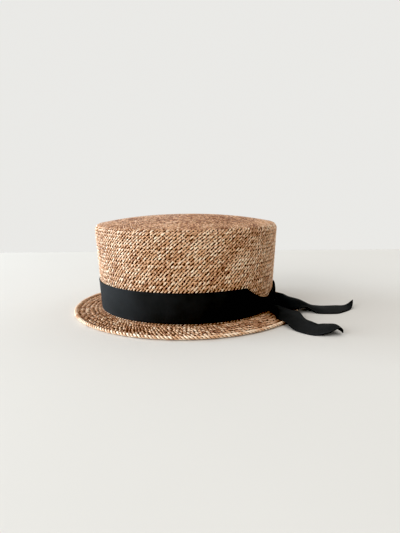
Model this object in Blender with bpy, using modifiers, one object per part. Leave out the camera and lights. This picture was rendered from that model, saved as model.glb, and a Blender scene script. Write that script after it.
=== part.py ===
"""Straw boater hat with a black ribbon tied at the back, lying on a flat surface.

+X is the back of the hat, where the ribbon is knotted, and -X is its front.
The origin is the centre of the head opening on the surface that the brim rests on.
Lengths are metres.
"""

import math
from typing import NamedTuple

import bmesh
import bpy
from mathutils import Vector

# Head opening and straw
HEAD_LENGTH = 0.1960
HEAD_WIDTH = 0.1724
STRAW_WALL = 0.0018

# Crown
SHOULDER_HEIGHT = 0.0985
CROWN_FLARE = 0.0050
SHOULDER_RADIUS = 0.0058
TIP_RISE = 0.0098
TIP_FULLNESS = 2.3

# Brim
BRIM_WIDTH = 0.0322
BRIM_RISE = 0.0012
BEND_RADIUS = 0.0026
RIM_THICKNESS = 0.0030
RIM_WIDTH = 0.0044
BACK_TRIM = 0.11
BACK_TRIM_ANGLE = math.radians(15.0)
BACK_TRIM_REACH = math.radians(60.0)

# Ribbon
RIBBON_WIDTH = 0.0320
RIBBON_THICKNESS = 0.0010
SEAT_GAP = 0.0003

# Knot, on the crown's side wall
KNOT_ANGLE = math.radians(-24.0)
KNOT_WIDTH = 0.0240
KNOT_HEIGHT = 0.0165
KNOT_DEPTH = 0.0105
KNOT_SWELL = 1.12
KNOT_SAG = 0.32
KNOT_WAIST = 0.22

# How the band is drawn down into the knot, and stands off the crown just past it
PINCH_DROP = 0.0165
PINCH_LEAD = math.radians(-6.0)
PINCH_FRONT = math.radians(24.0)
PINCH_BACK = math.radians(80.0)
PINCH_FRONT_CURVE = 1.5
PINCH_BACK_CURVE = 0.5
STAND_OFF = 0.0053
STAND_START = math.radians(8.0)
STAND_PEAK = math.radians(14.0)
STAND_END = math.radians(34.0)

# Tails
REAR_TAIL_REACH = 0.0850
REAR_TAIL_ASIDE = 0.0055
FRONT_TAIL_REACH = 0.0500
FRONT_TAIL_ASIDE = -0.0080
DROP_RUN = 0.0200

# Fineness of the faceted forms
RING_STEPS = 84
TIP_STEPS = 7
ARC_STEPS = 4
WALL_STEPS = 2
TAIL_ACROSS = 6
TAIL_SPLITS = 3
KNOT_LEVELS = 2
PLAN_HALVINGS = 50

HALF_WALL = STRAW_WALL / 2
BASE_RADIUS = HEAD_LENGTH / 2 + HALF_WALL
OVAL_SHIFT = (HEAD_LENGTH - HEAD_WIDTH) / 2
RIM_RADIUS = BASE_RADIUS + HALF_WALL + BRIM_WIDTH
RIM_HALF = RIM_THICKNESS / 2
BRIM_TOP_AT_RIM = RIM_THICKNESS
BAND_LOW = RIM_HALF + BRIM_RISE + BEND_RADIUS
BAND_OFFSET = HALF_WALL + SEAT_GAP
KNOT_OFFSET = BAND_OFFSET + RIBBON_THICKNESS + SEAT_GAP
MERGE = 0.00001


class TailRow(NamedTuple):
    """One section across a tail.

    along and aside place its middle, as shares of the tail's length and of the ribbon's width.
    spread is its width on plan and near, ridge and far are its heights over what it lies on,
    all as shares of the ribbon's width. turn is its angle on plan in degrees.
    """

    along: float
    aside: float
    spread: float
    turn: float
    near: float
    ridge: float
    far: float


REAR_TAIL = (
    TailRow(along=0.00, aside=0.00, spread=0.34, turn=-29, near=0.27, ridge=0.50, far=0.33),
    TailRow(along=0.09, aside=0.10, spread=0.46, turn=-15, near=0.14, ridge=0.46, far=0.22),
    TailRow(along=0.21, aside=0.20, spread=0.60, turn=-8, near=0.03, ridge=0.34, far=0.13),
    TailRow(along=0.36, aside=0.38, spread=0.70, turn=-4, near=0.09, ridge=0.20, far=0.03),
    TailRow(along=0.50, aside=0.33, spread=0.96, turn=-6, near=0.00, ridge=0.11, far=0.02),
    TailRow(along=0.62, aside=0.31, spread=0.99, turn=-4, near=0.00, ridge=0.04, far=0.00),
    TailRow(along=0.76, aside=0.31, spread=0.99, turn=-10, near=0.00, ridge=0.02, far=0.01),
    TailRow(along=0.88, aside=0.32, spread=0.96, turn=-20, near=0.00, ridge=0.01, far=0.08),
    TailRow(along=0.96, aside=0.34, spread=0.90, turn=-27, near=0.00, ridge=0.02, far=0.24),
)

FRONT_TAIL = (
    TailRow(along=0.00, aside=0.00, spread=0.50, turn=-29, near=0.05, ridge=0.26, far=0.19),
    TailRow(along=0.10, aside=-0.22, spread=0.66, turn=-42, near=0.01, ridge=0.20, far=0.18),
    TailRow(along=0.20, aside=-0.48, spread=0.78, turn=-50, near=0.01, ridge=0.13, far=0.14),
    TailRow(along=0.27, aside=-0.80, spread=0.86, turn=-52, near=0.01, ridge=0.09, far=0.10),
    TailRow(along=0.35, aside=-1.11, spread=0.92, turn=-50, near=0.01, ridge=0.05, far=0.07),
    TailRow(along=0.46, aside=-1.33, spread=0.97, turn=-38, near=0.00, ridge=0.03, far=0.05),
    TailRow(along=0.58, aside=-1.47, spread=0.98, turn=-22, near=0.00, ridge=0.03, far=0.04),
    TailRow(along=0.75, aside=-1.49, spread=0.96, turn=-8, near=0.08, ridge=0.10, far=0.05),
    TailRow(along=0.88, aside=-1.48, spread=0.84, turn=4, near=0.19, ridge=0.18, far=0.06),
    TailRow(along=0.96, aside=-1.58, spread=0.58, turn=12, near=0.16, ridge=0.19, far=0.11),
    TailRow(along=1.00, aside=-1.72, spread=0.22, turn=18, near=0.02, ridge=0.06, far=0.06),
)


class Material(NamedTuple):
    """Colour and gloss of one kind of piece."""

    name: str
    colour: tuple
    roughness: float


STRAW = Material("woven_straw", (0.46, 0.27, 0.15, 1.0), 0.62)
GROSGRAIN = Material("black_grosgrain", (0.012, 0.012, 0.013, 1.0), 0.72)


def clear_scene():
    """Remove every object that the file starts with."""
    for item in list(bpy.data.objects):
        bpy.data.objects.remove(item, do_unlink=True)


def principled(finish):
    """Return the Principled material of a finish, made once."""
    found = bpy.data.materials.get(finish.name)
    if found:
        return found
    material = bpy.data.materials.new(finish.name)
    material.use_nodes = True
    shader = material.node_tree.nodes["Principled BSDF"]
    shader.inputs["Base Color"].default_value = finish.colour
    shader.inputs["Roughness"].default_value = finish.roughness
    shader.inputs["Metallic"].default_value = 0.0
    material.diffuse_color = finish.colour
    return material


def add_object(name, mesh, collection, finish):
    """Link a mesh as a named object that carries one finish."""
    item = bpy.data.objects.new(name, mesh)
    collection.objects.link(item)
    mesh.materials.clear()
    mesh.materials.append(principled(finish))
    return item


def trim_share(angle):
    """Return how much narrower the brim is at an angle, as a share of its width."""
    away = abs(math.remainder(angle - BACK_TRIM_ANGLE, math.tau)) / BACK_TRIM_REACH
    return BACK_TRIM * math.cos(min(1.0, away) * math.pi / 2) ** 2


def oval(radius, angle):
    """Place a point of the round turning on the hat's oval plan.

    Outside the crown's base the oval keeps an even distance, apart from the brim's narrower
    back; inside it narrows in proportion.
    """
    shift = OVAL_SHIFT * min(1.0, radius / BASE_RADIUS)
    reach = radius - max(0.0, radius - BASE_RADIUS) * trim_share(angle)
    return reach * math.cos(angle), (reach - shift) * math.sin(angle)


def plan_radius(x, y):
    """Return the round turning's radius at a point of the plan outside the crown."""
    low = OVAL_SHIFT + MERGE
    high = RIM_RADIUS + math.hypot(x, y)
    for _ in range(PLAN_HALVINGS):
        middle = (low + high) / 2
        if (x / middle) ** 2 + (y / (middle - OVAL_SHIFT)) ** 2 > 1.0:
            low = middle
        else:
            high = middle
    trim = trim_share(math.atan2(y / (middle - OVAL_SHIFT), x / middle))
    return middle + max(0.0, middle - BASE_RADIUS) * trim / (1 - trim)


def side_radius(height):
    """Return the radius of the middle of the crown's side wall at a height."""
    low = RIM_HALF + BRIM_RISE
    return BASE_RADIUS + CROWN_FLARE * (height - low) / (SHOULDER_HEIGHT - low)


def brim_top(radius):
    """Return the height of the brim's upper face, which falls from the crown to the rim."""
    run = RIM_RADIUS - RIM_WIDTH - BASE_RADIUS
    share = min(1.0, max(0.0, (radius - BASE_RADIUS) / run))
    return RIM_HALF + BRIM_RISE * (1 - share) + HALF_WALL + (RIM_HALF - HALF_WALL) * share


def support_height(x, y):
    """Return the height that cloth lies at: on the brim, and past the rim down to the surface."""
    radius = plan_radius(x, y)
    if radius <= RIM_RADIUS:
        return max(brim_top(radius), BRIM_TOP_AT_RIM) + SEAT_GAP
    share = min(1.0, (radius - RIM_RADIUS) / DROP_RUN)
    return (BRIM_TOP_AT_RIM + SEAT_GAP) * (1 - share) ** 2 * (1 + 2 * share)


def fillet(before, corner, after, radius):
    """Return points of an arc of one radius that rounds a corner between two lines."""
    first = (Vector(before) - Vector(corner)).normalized()
    second = (Vector(after) - Vector(corner)).normalized()
    half = first.angle(second) / 2
    centre = Vector(corner) + (first + second).normalized() * radius / math.sin(half)
    start = Vector(corner) + first * radius / math.tan(half) - centre
    end = Vector(corner) + second * radius / math.tan(half) - centre
    points = []
    for step in range(ARC_STEPS + 1):
        arm = start.slerp(end, step / ARC_STEPS).normalized()
        points.append(tuple(centre + arm * radius))
    return points


def wall_middle():
    """Return the middle line of the straw wall, from the tip's centre to the rim."""
    top = SHOULDER_HEIGHT + TIP_RISE
    shoulder = (side_radius(SHOULDER_HEIGHT), SHOULDER_HEIGHT)
    slope = TIP_FULLNESS * TIP_RISE / shoulder[0]
    before = (shoulder[0] - SHOULDER_RADIUS, SHOULDER_HEIGHT + slope * SHOULDER_RADIUS)
    bend = (BASE_RADIUS, RIM_HALF + BRIM_RISE)
    rim_start = (RIM_RADIUS - RIM_WIDTH, RIM_HALF)
    shoulder_arc = fillet(before, shoulder, bend, SHOULDER_RADIUS)
    bend_arc = fillet(shoulder, bend, rim_start, BEND_RADIUS)

    line = []
    for step in range(TIP_STEPS):
        radius = shoulder_arc[0][0] * step / TIP_STEPS
        share = radius / shoulder[0]
        line.append((radius, top - TIP_RISE * share ** TIP_FULLNESS))
    line += shoulder_arc
    for step in range(1, WALL_STEPS):
        point = Vector(shoulder_arc[-1]).lerp(Vector(bend_arc[0]), step / WALL_STEPS)
        line.append(tuple(point))
    line += bend_arc
    line.append(rim_start)
    return line


def straw_outline():
    """Return the closed section of the straw: outer face down to the rim, inner face back up."""
    line = [Vector(point) for point in wall_middle()]
    outer = []
    inner = []
    for index, point in enumerate(line):
        ahead = line[min(index + 1, len(line) - 1)]
        behind = line[max(index - 1, 0)]
        run = (ahead - behind).normalized()
        if index == 0:
            run = Vector((1.0, 0.0))
        normal = Vector((-run.y, run.x))
        outer.append(point + normal * HALF_WALL)
        inner.append(point - normal * HALF_WALL)

    rim_inner = RIM_RADIUS - RIM_WIDTH + (RIM_HALF - HALF_WALL)
    rim_outer = RIM_RADIUS - RIM_HALF
    edge = [Vector((rim_inner, RIM_THICKNESS))]
    for step in range(ARC_STEPS + 1):
        angle = math.pi / 2 - math.pi * step / ARC_STEPS
        arm = Vector((math.cos(angle), math.sin(angle)))
        edge.append(Vector((rim_outer, RIM_HALF)) + arm * RIM_HALF)
    edge.append(Vector((rim_inner, 0.0)))
    return outer + edge + inner[::-1]


def turned(name, outline, closed, collection, finish):
    """Turn a section round the upright axis and return the object with its mesh applied."""
    mesh = bpy.data.meshes.new(name)
    edges = [(index, index + 1) for index in range(len(outline) - 1)]
    if closed:
        edges.append((len(outline) - 1, 0))
    mesh.from_pydata([(point[0], 0.0, point[1]) for point in outline], edges, [])
    item = add_object(name, mesh, collection, finish)
    screw = item.modifiers.new("turn", "SCREW")
    screw.axis = "Z"
    screw.steps = RING_STEPS
    screw.render_steps = RING_STEPS
    screw.use_merge_vertices = True
    screw.merge_threshold = MERGE
    screw.use_normal_calculate = False
    bpy.context.view_layer.update()
    graph = bpy.context.evaluated_depsgraph_get()
    applied = bpy.data.meshes.new_from_object(item.evaluated_get(graph))
    item.modifiers.clear()
    item.data = applied
    bpy.data.meshes.remove(mesh)
    applied.materials.clear()
    applied.materials.append(principled(finish))
    return item


def smooth(item, limit=40.0):
    """Shade a piece smooth, with edges over the limit left sharp."""
    item.data.shade_smooth()
    item.data.set_sharp_from_angle(angle=math.radians(limit))


def make_straw_body(collection):
    """Build crown and brim, which are woven and blocked in one piece."""
    item = turned("straw_body", straw_outline(), True, collection, STRAW)
    for vertex in item.data.vertices:
        radius = math.hypot(vertex.co.x, vertex.co.y)
        angle = math.atan2(vertex.co.y, vertex.co.x)
        vertex.co.x, vertex.co.y = oval(radius, angle)
    smooth(item)
    return item


def past_knot(angle):
    """Return the angle from the knot round the crown, from minus to plus half a turn."""
    return math.remainder(angle - KNOT_ANGLE, math.tau)


def pinch_share(angle):
    """Return how far the band's upper edge is drawn down at an angle, 1 just before the knot."""
    away = past_knot(angle) - PINCH_LEAD
    if away > 0:
        reach, curve = PINCH_BACK, PINCH_BACK_CURVE
    else:
        reach, curve = PINCH_FRONT, PINCH_FRONT_CURVE
    return 1 - min(1.0, abs(away) / reach) ** curve


def stand_off(angle):
    """Return how far the band's lower edge stands off the crown on its way to the knot."""
    away = past_knot(angle)
    if away <= STAND_START or away >= STAND_END:
        return 0.0
    if away < STAND_PEAK:
        share = (away - STAND_START) / (STAND_PEAK - STAND_START)
    else:
        share = (STAND_END - away) / (STAND_END - STAND_PEAK)
    return STAND_OFF * share * share * (3 - 2 * share)


def make_ribbon_band(collection):
    """Build the ribbon round the crown, a thin ring that narrows at the knot."""
    high = BAND_LOW + RIBBON_WIDTH
    low_radius = side_radius(BAND_LOW) + BAND_OFFSET
    high_radius = side_radius(high) + BAND_OFFSET
    outline = [
        (high_radius, high),
        (high_radius + RIBBON_THICKNESS, high),
        (low_radius + RIBBON_THICKNESS, BAND_LOW),
        (low_radius, BAND_LOW),
    ]
    item = turned("ribbon_band", outline, True, collection, GROSGRAIN)
    for vertex in item.data.vertices:
        radius = math.hypot(vertex.co.x, vertex.co.y)
        angle = math.atan2(vertex.co.y, vertex.co.x)
        share = (vertex.co.z - BAND_LOW) / RIBBON_WIDTH
        layer = radius - side_radius(vertex.co.z) + stand_off(angle) * (1 - share)
        vertex.co.z -= PINCH_DROP * pinch_share(angle) * share
        vertex.co.x, vertex.co.y = oval(side_radius(vertex.co.z) + layer, angle)
    smooth(item)
    return item


def on_band(height, angle):
    """Return the point just clear of the band's outer face at a height and an angle."""
    x, y = oval(side_radius(height) + KNOT_OFFSET, angle)
    return Vector((x, y, height))


def knot_frame():
    """Return the knot's foot on the band, and its directions outwards, sideways and upwards."""
    foot = on_band(BAND_LOW, KNOT_ANGLE)
    sideways = (on_band(BAND_LOW, KNOT_ANGLE + math.radians(1)) - foot).normalized()
    upwards = (on_band(BAND_LOW + KNOT_HEIGHT, KNOT_ANGLE) - foot).normalized()
    return foot, sideways.cross(upwards).normalized(), sideways, upwards


def make_ribbon_knot(collection):
    """Build the knot as a soft cushion, flat where it lies on the band and pinched at its waist."""
    foot, outwards, sideways, upwards = knot_frame()
    mesh = bpy.data.meshes.new("ribbon_knot")
    shape = bmesh.new()
    bmesh.ops.create_cube(shape, size=1.0)
    bmesh.ops.subdivide_edges(shape, edges=shape.edges[:], cuts=1, use_grid_fill=True)
    for vertex in shape.verts:
        out, side, up = vertex.co.x + 0.5, vertex.co.y, vertex.co.z
        waist = 1 - KNOT_WAIST * (1 - 2 * abs(side)) * out
        place = outwards * out * KNOT_DEPTH * (KNOT_SWELL - KNOT_SAG * (2 * side) ** 2)
        place += sideways * side * KNOT_WIDTH
        place += upwards * (up * waist + 0.5) * KNOT_HEIGHT
        vertex.co = foot + place
    bmesh.ops.recalc_face_normals(shape, faces=shape.faces[:])
    shape.to_mesh(mesh)
    shape.free()
    item = add_object("ribbon_knot", mesh, collection, GROSGRAIN)
    rounding = item.modifiers.new("soft", "SUBSURF")
    rounding.levels = KNOT_LEVELS
    rounding.render_levels = KNOT_LEVELS
    item.data.shade_smooth()
    return item


def solidify(item):
    """Give an open ribbon surface its thickness, on the side that its faces point to."""
    wall = item.modifiers.new("ribbon", "SOLIDIFY")
    wall.thickness = RIBBON_THICKNESS
    wall.offset = 1.0
    wall.use_even_offset = False


def grid_mesh(name, rows):
    """Make an open surface through rows of points, its faces pointing up or out."""
    mesh = bpy.data.meshes.new(name)
    shape = bmesh.new()
    made = [[shape.verts.new(point) for point in row] for row in rows]
    for first, second in zip(made, made[1:]):
        for index in range(len(first) - 1):
            shape.faces.new((first[index], second[index], second[index + 1], first[index + 1]))
    shape.to_mesh(mesh)
    shape.free()
    return mesh


def blend_rows(rows, splits):
    """Pass a smooth curve through the rows of a table and return closer rows."""
    dense = []
    for index in range(len(rows) - 1):
        before = rows[max(index - 1, 0)]
        beyond = rows[min(index + 2, len(rows) - 1)]
        around = (before, rows[index], rows[index + 1], beyond)
        for step in range(splits):
            t = step / splits
            weights = (
                (-t + 2 * t ** 2 - t ** 3) / 2,
                (2 - 5 * t ** 2 + 3 * t ** 3) / 2,
                (t + 4 * t ** 2 - 3 * t ** 3) / 2,
                (-t ** 2 + t ** 3) / 2,
            )
            columns = zip(*around)
            dense.append(TailRow(*(sum(w * v for w, v in zip(weights, column)) for column in columns)))
    dense.append(rows[-1])
    return dense


def tail_points(table, start, length):
    """Return the rows of points on the underside of a tail."""
    rows = []
    for row in blend_rows(table, TAIL_SPLITS):
        middle_x = start.x + row.along * length
        middle_y = start.y + row.aside * RIBBON_WIDTH
        turn = math.radians(row.turn)
        points = []
        for index in range(TAIL_ACROSS + 1):
            across = index / TAIL_ACROSS
            reach = (across - 0.5) * row.spread * RIBBON_WIDTH
            x = middle_x - reach * math.sin(turn)
            y = middle_y + reach * math.cos(turn)
            edge = row.near * (1 - across) + row.far * across
            arch = (row.ridge - (row.near + row.far) / 2) * math.sin(math.pi * across)
            lift = max(0.0, edge + arch) * RIBBON_WIDTH
            points.append((x, y, support_height(x, y) + lift))
        rows.append(points)
    return rows


def make_tail(name, table, start, length, collection):
    """Build one tail as a thin sheet lofted through its table."""
    item = add_object(name, grid_mesh(name, tail_points(table, start, length)), collection, GROSGRAIN)
    solidify(item)
    item.data.shade_smooth()
    return item


def main():
    """Build the hat."""
    clear_scene()
    collection = bpy.data.collections.new("straw_boater_hat")
    bpy.context.scene.collection.children.link(collection)
    make_straw_body(collection)
    make_ribbon_band(collection)
    make_ribbon_knot(collection)
    foot, outwards, sideways, _ = knot_frame()
    face = foot + outwards * (KNOT_DEPTH + SEAT_GAP + RIBBON_THICKNESS)
    rear_start = face + sideways * REAR_TAIL_ASIDE
    front_start = face + sideways * FRONT_TAIL_ASIDE
    make_tail("ribbon_tail_rear", REAR_TAIL, rear_start, REAR_TAIL_REACH, collection)
    make_tail("ribbon_tail_front", FRONT_TAIL, front_start, FRONT_TAIL_REACH, collection)


main()
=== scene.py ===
"""Looks of a straw boater hat with a black ribbon: woven straw, grosgrain, floor and light.

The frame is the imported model. +X is the back of the hat, where the ribbon is knotted, +Z is up
and the origin is the centre of the head opening on the surface. Lengths are metres.
"""

import logging
import math
from dataclasses import astuple, dataclass, field, fields, replace
from enum import Enum
from functools import cached_property
from typing import Any, Callable, Iterable, NamedTuple, Sequence

import bmesh
import bpy
import numpy as np
from mathutils import Matrix, Vector


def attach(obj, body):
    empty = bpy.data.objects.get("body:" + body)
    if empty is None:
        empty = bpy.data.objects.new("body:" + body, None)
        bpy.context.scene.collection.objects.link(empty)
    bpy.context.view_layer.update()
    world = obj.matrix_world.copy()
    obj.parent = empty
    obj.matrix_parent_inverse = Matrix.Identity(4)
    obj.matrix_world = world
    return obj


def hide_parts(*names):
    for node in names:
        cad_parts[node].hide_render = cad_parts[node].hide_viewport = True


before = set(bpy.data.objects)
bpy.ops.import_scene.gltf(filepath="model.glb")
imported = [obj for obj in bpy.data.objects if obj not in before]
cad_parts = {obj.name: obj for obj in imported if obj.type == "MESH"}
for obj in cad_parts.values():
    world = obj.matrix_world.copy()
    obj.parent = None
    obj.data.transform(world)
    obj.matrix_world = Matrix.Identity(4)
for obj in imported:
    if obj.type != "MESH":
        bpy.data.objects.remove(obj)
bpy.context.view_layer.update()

LOG = logging.getLogger("boater")
ROOT = "root"
TINY = 1e-5

Array = np.ndarray


class Family(Enum):
    """The two sets of strands, by the way they run round the hat as they go down."""

    FORWARD = 1
    BACKWARD = -1


class Face(Enum):
    """The side of the straw wall that a strand shows on."""

    OUTER = 1
    INNER = -1


class Graph:
    """A shader or Geometry Nodes tree under construction."""

    def __init__(self, tree: bpy.types.NodeTree) -> None:
        """Start from an empty tree."""
        self.tree = tree
        tree.nodes.clear()

    def node(self, kind: str, inputs: dict[Any, Any] | None = None, **settings: Any) -> bpy.types.Node:
        """Add a node.

        Args:
            kind: The node's type name.
            inputs: What goes into its sockets, by name or index: a socket to link or a value.
            settings: Properties of the node itself.

        Returns:
            The node.
        """
        made = self.tree.nodes.new(kind)
        for name, value in settings.items():
            setattr(made, name, value)
        for key, value in (inputs or {}).items():
            if isinstance(value, bpy.types.NodeSocket):
                self.tree.links.new(value, made.inputs[key])
            else:
                made.inputs[key].default_value = value
        return made

    def math(self, operation: str, *values: Any) -> bpy.types.NodeSocket:
        """Add a Math node on sockets or numbers and return its result."""
        kind = "ShaderNodeMath"
        return self.node(kind, dict(enumerate(values)), operation=operation).outputs[0]

    def product(self, *values: Any) -> bpy.types.NodeSocket:
        """Multiply sockets and numbers together and return the result."""
        total = values[0]
        for value in values[1:]:
            total = self.math("MULTIPLY", total, value)
        return total

    def attribute(self, name: str, data_type: str = "FLOAT") -> bpy.types.NodeSocket:
        """Read a named attribute inside a Geometry Nodes tree and return its socket."""
        made = self.node("GeometryNodeInputNamedAttribute", {"Name": name}, data_type=data_type)
        return next(socket for socket in made.outputs if socket.enabled)

    def random(self, low: float, high: float, seed: Any, key: Any = None) -> bpy.types.NodeSocket:
        """Return a random number between two values for each element, or for each key."""
        inputs = {2: low, 3: high, 8: seed}
        if key is not None:
            inputs[7] = key
        return self.node("FunctionNodeRandomValue", inputs, data_type="FLOAT").outputs[1]


def add_object(name: str, mesh: bpy.types.Mesh, *materials: bpy.types.Material) -> bpy.types.Object:
    """Link a mesh to the scene as an object at the origin, with its materials."""
    made = bpy.data.objects.new(name, mesh)
    bpy.context.scene.collection.objects.link(made)
    if materials:
        mesh.materials.clear()
        for material in materials:
            mesh.materials.append(material)
    return made


def applied(source: bpy.types.Object) -> bpy.types.Object:
    """Turn an object and its modifiers into a plain mesh object of the same name."""
    graph = bpy.context.evaluated_depsgraph_get()
    mesh = bpy.data.meshes.new_from_object(source.evaluated_get(graph), depsgraph=graph)
    name = source.name
    old = source.data
    bpy.data.objects.remove(source, do_unlink=True)
    if old.users == 0:
        bpy.data.meshes.remove(old)
    mesh.name = name
    return add_object(name, mesh)


def grid_mesh(name: str, points: Array, closed_along: bool = False, closed_across: bool = False) -> bpy.types.Mesh:
    """Make a surface of quads through a grid of points.

    Args:
        name: The mesh's name.
        points: Points as (rows, columns, 3).
        closed_along: Whether the last row joins the first.
        closed_across: Whether the last column joins the first.

    Returns:
        The mesh, smooth, with its faces on the side of rows cross columns.
    """
    rows, columns = points.shape[:2]
    i, j = np.meshgrid(
        np.arange(rows if closed_along else rows - 1),
        np.arange(columns if closed_across else columns - 1),
        indexing="ij",
    )
    k, m = (i + 1) % rows, (j + 1) % columns
    quads = np.stack([i * columns + j, k * columns + j, k * columns + m, i * columns + m], axis=-1)
    mesh = bpy.data.meshes.new(name)
    mesh.from_pydata(points.reshape(-1, 3).tolist(), [], quads.reshape(-1, 4).tolist())
    mesh.shade_smooth()
    mesh.update()
    return mesh


def set_attribute(mesh: bpy.types.Mesh, name: str, values: Array) -> None:
    """Store numbers or vectors on a mesh's points under a name."""
    vector = values.ndim == 2
    kind = "FLOAT_VECTOR" if vector else ("INT" if values.dtype.kind == "i" else "FLOAT")
    layer = mesh.attributes.new(name, kind, "POINT")
    layer.data.foreach_set("vector" if vector else "value", np.ascontiguousarray(values).ravel())


def smoothstep(share: Array) -> Array:
    """Ease a share from 0 to 1, flat at both ends."""
    held = np.clip(share, 0.0, 1.0)
    return held * held * (3 - 2 * held)


def unit(vectors: Array) -> Array:
    """Scale vectors to length one."""
    return vectors / np.linalg.norm(vectors, axis=-1, keepdims=True)


def wrapped(angle: Array) -> Array:
    """Bring angles into the half turn either side of zero."""
    return (np.asarray(angle) + math.pi) % math.tau - math.pi


@dataclass(frozen=True)
class HatForm:
    """Form of the straw: a level tip, an oval crown that widens upwards and a flat brim."""

    head_length: float = 0.1960
    head_width: float = 0.1724
    straw_wall: float = 0.0018
    shoulder_height: float = 0.0985
    crown_flare: float = 0.0050
    shoulder_radius: float = 0.0058
    tip_rise: float = 0.0098
    tip_fullness: float = 2.3
    brim_width: float = 0.0322
    brim_rise: float = 0.0012
    bend_radius: float = 0.0026
    rim_thickness: float = 0.0030
    rim_width: float = 0.0044
    back_trim: float = 0.11
    back_trim_angle: float = math.radians(15.0)
    back_trim_reach: float = math.radians(60.0)
    line_step: float = 0.0003

    @property
    def half_wall(self) -> float:
        """Distance from the wall's middle to either face."""
        return self.straw_wall / 2

    @property
    def base_radius(self) -> float:
        """Radius of the wall's middle where the crown meets the brim."""
        return self.head_length / 2 + self.half_wall

    @property
    def oval_shift(self) -> float:
        """How much narrower the plan is across than along, to each side."""
        return (self.head_length - self.head_width) / 2

    @property
    def rim_radius(self) -> float:
        """Radius of the brim's outer edge."""
        return self.base_radius + self.half_wall + self.brim_width

    @property
    def bend_height(self) -> float:
        """Height of the corner between the crown's side and the brim."""
        return self.rim_thickness / 2 + self.brim_rise

    def side_radius(self, height: Array) -> Array:
        """Return the radius of the side wall's middle at a height."""
        rise = (height - self.bend_height) / (self.shoulder_height - self.bend_height)
        return self.base_radius + self.crown_flare * rise

    def oval(self, radius: Array, angle: Array) -> tuple[Array, Array]:
        """Place points of the round turning on the oval plan.

        Args:
            radius: Radius of the turning.
            angle: Angle from the back of the hat.

        Returns:
            X and Y.
        """
        shift = self.oval_shift * np.minimum(1.0, radius / self.base_radius)
        away = np.abs(wrapped(angle - self.back_trim_angle)) / self.back_trim_reach
        trim = self.back_trim * np.cos(np.minimum(1.0, away) * math.pi / 2) ** 2
        reach = radius - np.maximum(0.0, radius - self.base_radius) * trim
        return reach * np.cos(angle), (reach - shift) * np.sin(angle)

    def plan_radius(self, x: Array, y: Array) -> Array:
        """Return the turning's radius at points of the plan outside the crown."""
        low = np.full_like(x, self.oval_shift + TINY)
        high = self.rim_radius + np.hypot(x, y)
        for _ in range(40):
            middle = (low + high) / 2
            outside = (x / middle) ** 2 + (y / (middle - self.oval_shift)) ** 2 > 1.0
            low = np.where(outside, middle, low)
            high = np.where(outside, high, middle)
        angle = np.arctan2(y / (middle - self.oval_shift), x / middle)
        away = np.abs(wrapped(angle - self.back_trim_angle)) / self.back_trim_reach
        trim = self.back_trim * np.cos(np.minimum(1.0, away) * math.pi / 2) ** 2
        return middle + np.maximum(0.0, middle - self.base_radius) * trim / (1 - trim)

    def corner(self, before: Array, corner: Array, after: Array, radius: float) -> Array:
        """Round a corner of the middle line.

        Args:
            before: A point of the line into the corner.
            corner: The corner.
            after: A point of the line out of it.
            radius: Radius of the arc.

        Returns:
            Points of the arc, close together.
        """
        first, second = unit(before - corner), unit(after - corner)
        half = math.acos(float(np.clip(first @ second, -1, 1))) / 2
        centre = corner + unit(first + second) * radius / math.sin(half)
        start = corner + first * radius / math.tan(half) - centre
        end = corner + second * radius / math.tan(half) - centre
        shares = np.linspace(0, 1, 25)[:, None]
        return centre + unit(start * (1 - shares) + end * shares) * radius

    @cached_property
    def middle_line(self) -> Array:
        """The wall's middle from the tip's centre to the rim, as (distance, radius, height)."""
        shoulder = np.array([self.side_radius(self.shoulder_height), self.shoulder_height])
        slope = self.tip_fullness * self.tip_rise / shoulder[0]
        before = shoulder + np.array([-1.0, slope]) * self.shoulder_radius
        bend = np.array([self.base_radius, self.bend_height])
        rim_start = np.array([self.rim_radius - self.rim_width / 2, self.rim_thickness / 2])
        shoulder_arc = self.corner(before, shoulder, bend, self.shoulder_radius)
        bend_arc = self.corner(shoulder, bend, rim_start, self.bend_radius)
        radii = np.arange(0.0, shoulder_arc[0, 0], self.line_step)
        drop = self.tip_rise * (radii / shoulder[0]) ** self.tip_fullness
        tip = np.stack([radii, self.shoulder_height + self.tip_rise - drop], axis=1)
        line = np.concatenate([tip, shoulder_arc, bend_arc, rim_start[None]])
        run = np.concatenate([[0.0], np.cumsum(np.linalg.norm(np.diff(line, axis=0), axis=1))])
        return np.column_stack([run, line])

    @property
    def length(self) -> float:
        """Length of the middle line."""
        return float(self.middle_line[-1, 0])

    def radius_at(self, run: Array) -> Array:
        """Return the radius at distances along the middle line."""
        return np.interp(run, self.middle_line[:, 0], self.middle_line[:, 1])

    def height_at(self, run: Array) -> Array:
        """Return the height at distances along the middle line."""
        return np.interp(run, self.middle_line[:, 0], self.middle_line[:, 2])

    def run_at_height(self, height: float) -> float:
        """Return the distance along the middle line where the side wall passes a height."""
        line = self.middle_line
        return float(np.interp(-height, -line[:, 2], line[:, 0]))

    def run_on_brim(self, radius: float) -> float:
        """Return the distance along the middle line where the brim passes a radius."""
        brim = self.middle_line[self.middle_line[:, 2] < self.bend_height + self.bend_radius]
        return float(np.interp(radius, brim[:, 1], brim[:, 0]))

    def point(self, run: Array, angle: Array) -> Array:
        """Return points of the middle surface at distances along the line and angles round it."""
        x, y = self.oval(self.radius_at(run), angle)
        return np.stack(np.broadcast_arrays(x, y, self.height_at(run)), axis=-1)

    def slopes(self, run: Array, angle: Array) -> tuple[Array, Array, Array]:
        """Return how the surface runs down and round at points, and its outward normal."""
        step = 1e-4
        down = (self.point(run + step, angle) - self.point(run - step, angle)) / (2 * step)
        around = (self.point(run, angle + step) - self.point(run, angle - step)) / (2 * step)
        return down, around, unit(np.cross(down, around))


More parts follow.
